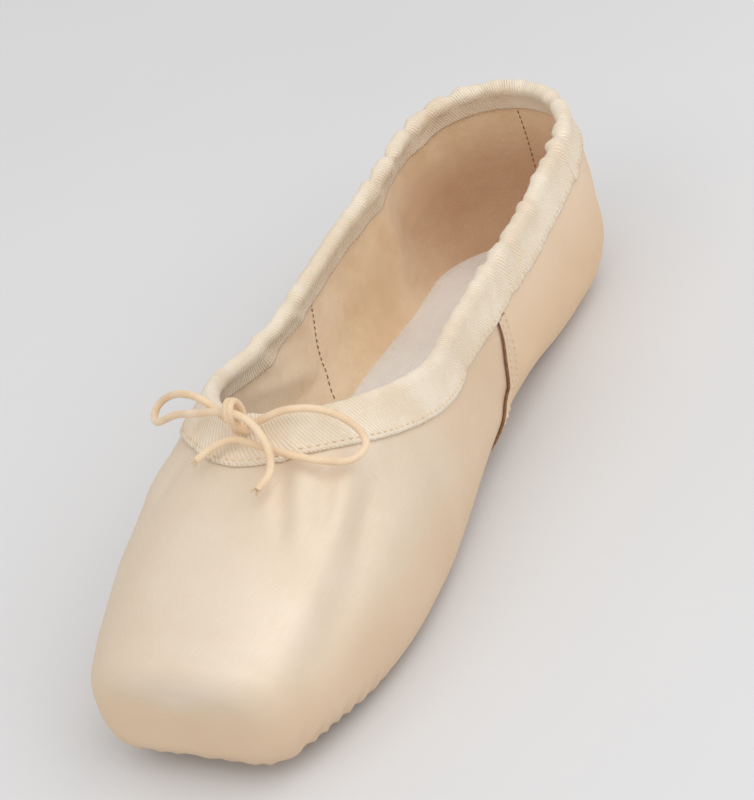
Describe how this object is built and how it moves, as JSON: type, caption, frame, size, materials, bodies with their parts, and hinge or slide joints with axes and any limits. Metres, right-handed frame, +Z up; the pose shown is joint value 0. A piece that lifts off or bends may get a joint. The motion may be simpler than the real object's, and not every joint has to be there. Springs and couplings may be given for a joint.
{
  "type": "pointe shoe",
  "caption": "Satin pointe shoe with a stiff flat-tipped block, soft quarters, a corded collar binding tied in a bow, and a leather outsole.",
  "frame": {"origin": "on the floor under the middle of the shoe's length and width", "axes": "+X towards the toe along the shoe, +Y towards the wearer's left, +Z up from the floor"},
  "size_m": [0.2368, 0.074, 0.0684],
  "materials": {
    "satin": "satin over canvas and paste, soft sheen",
    "sole_leather": "matt brown leather",
    "sock": "pale cloth sock",
    "twill": "cotton twill tape",
    "cord": "round cotton cord"
  },
  "bodies": {
    "root": {"upper": "satin", "outsole": "sole_leather", "insole": "sock", "collar_binding": "twill", "back_tape": "satin", "side_seam_left": "satin", "side_seam_right": "satin", "bow_knot": "cord", "bow_left": "cord", "bow_right": "cord"}
  },
  "joints": []
}
